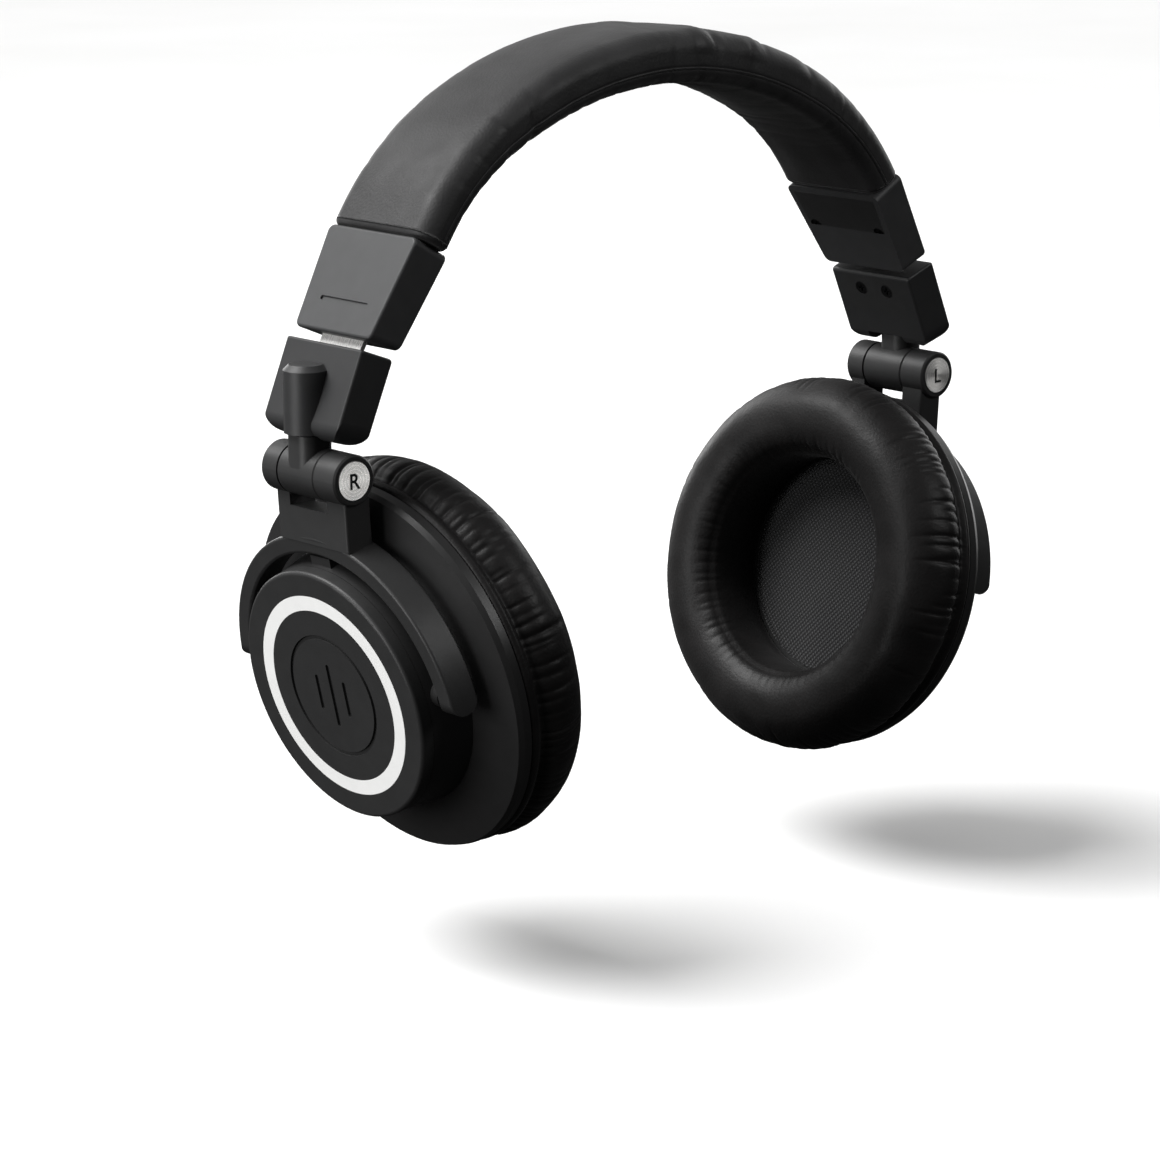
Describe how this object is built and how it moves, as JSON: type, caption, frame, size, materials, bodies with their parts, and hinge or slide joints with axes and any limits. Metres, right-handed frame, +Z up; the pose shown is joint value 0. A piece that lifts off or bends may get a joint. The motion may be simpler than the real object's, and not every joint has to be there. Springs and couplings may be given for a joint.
{
  "type": "over-ear headphones",
  "caption": "Folding closed-back headphones: padded arch headband, sliding arms, swivelling and folding yokes, round tilting ear cups with soft pads.",
  "frame": {"origin": "underside of the headband at the top of its arch, on the mid plane", "axes": "+X across the head towards the wearer's left ear, -Y the front, +Z up"},
  "size_m": [0.2094, 0.095, 0.1905],
  "materials": {
    "band_leather": "matte, finely grained, wrinkled",
    "pad_leather": "soft sheen, pleated",
    "grey_plastic": "satin",
    "black_plastic": "satin",
    "gloss_black": "semi-gloss",
    "white_ring": "satin silver white",
    "badge_steel": "spun",
    "spring_steel": "bright",
    "screw_steel": "blackened",
    "pin_steel": "plain",
    "driver_cloth": "fine knit",
    "diaphragm_film": "thin film",
    "magnet_steel": "plated",
    "socket_plastic": "satin"
  },
  "bodies": {
    "headband": {"headband_pad": "band_leather", "headband_core": "spring_steel", "left_end_cap": "grey_plastic", "left_end_cap_lid": "black_plastic", "left_end_cap_screw_rear": "screw_steel", "left_end_cap_screw_front": "screw_steel", "left_detent_spring": "pin_steel", "right_end_cap": "grey_plastic", "right_end_cap_lid": "black_plastic", "right_end_cap_screw_rear": "screw_steel", "right_end_cap_screw_front": "screw_steel", "right_detent_spring": "pin_steel"},
    "left_slider": {"left_slider_strip": "spring_steel", "left_slider_housing": "grey_plastic", "left_housing_lid": "black_plastic", "left_housing_screw_rear": "screw_steel", "left_housing_screw_front": "screw_steel"},
    "left_swivel": {"left_swivel_knuckle": "black_plastic", "left_swivel_clip": "pin_steel"},
    "left_yoke": {"left_yoke": "black_plastic", "left_hinge_pin": "pin_steel", "left_hinge_badge": "badge_steel", "left_pivot_pin_front": "pin_steel", "left_pivot_pin_rear": "pin_steel"},
    "left_cup": {"left_cup_shell": "gloss_black", "left_cup_cover": "black_plastic", "left_ring_inlay": "white_ring", "left_baffle": "black_plastic", "left_driver_frame": "black_plastic", "left_driver_magnet": "magnet_steel", "left_driver_diaphragm": "diaphragm_film", "left_driver_cloth": "driver_cloth", "left_ear_pad": "pad_leather", "left_cable_socket": "socket_plastic"},
    "right_slider": {"right_slider_strip": "spring_steel", "right_slider_housing": "grey_plastic", "right_housing_lid": "black_plastic", "right_housing_screw_rear": "screw_steel", "right_housing_screw_front": "screw_steel"},
    "right_swivel": {"right_swivel_knuckle": "black_plastic", "right_swivel_clip": "pin_steel"},
    "right_yoke": {"right_yoke": "black_plastic", "right_hinge_pin": "pin_steel", "right_hinge_badge": "badge_steel", "right_pivot_pin_front": "pin_steel", "right_pivot_pin_rear": "pin_steel"},
    "right_cup": {"right_cup_shell": "gloss_black", "right_cup_cover": "black_plastic", "right_ring_inlay": "white_ring", "right_baffle": "black_plastic", "right_driver_frame": "black_plastic", "right_driver_magnet": "magnet_steel", "right_driver_diaphragm": "diaphragm_film", "right_driver_cloth": "driver_cloth", "right_ear_pad": "pad_leather"}
  },
  "joints": [
    {"name": "left_slide", "type": "slide", "parent": "headband", "child": "left_slider", "axis": [0.5, 0, -0.866], "range_m": [0, 0.027]},
    {"name": "left_swivel", "type": "hinge", "parent": "left_slider", "child": "left_swivel", "pos_m": [0.0994, 0.0009, -0.067], "axis": [0, 0, 1], "range_deg": [-90, 90]},
    {"name": "left_fold", "type": "hinge", "parent": "left_swivel", "child": "left_yoke", "pos_m": [0.0973, 0.0009, -0.083], "axis": [0, 1, 0], "range_deg": [0, 60]},
    {"name": "left_tilt", "type": "hinge", "parent": "left_yoke", "child": "left_cup", "pos_m": [0.08712, 0, -0.13132], "axis": [0, -1, 0], "range_deg": [-4, 10]},
    {"name": "right_slide", "type": "slide", "parent": "headband", "child": "right_slider", "axis": [-0.5, 0, -0.866], "range_m": [0, 0.027]},
    {"name": "right_swivel", "type": "hinge", "parent": "right_slider", "child": "right_swivel", "pos_m": [-0.0994, 0.0009, -0.067], "axis": [0, 0, -1], "range_deg": [-90, 90]},
    {"name": "right_fold", "type": "hinge", "parent": "right_swivel", "child": "right_yoke", "pos_m": [-0.0973, 0.0009, -0.083], "axis": [0, -1, 0], "range_deg": [0, 60]},
    {"name": "right_tilt", "type": "hinge", "parent": "right_yoke", "child": "right_cup", "pos_m": [-0.08712, 0, -0.13132], "axis": [0, 1, 0], "range_deg": [-4, 10]}
  ]
}
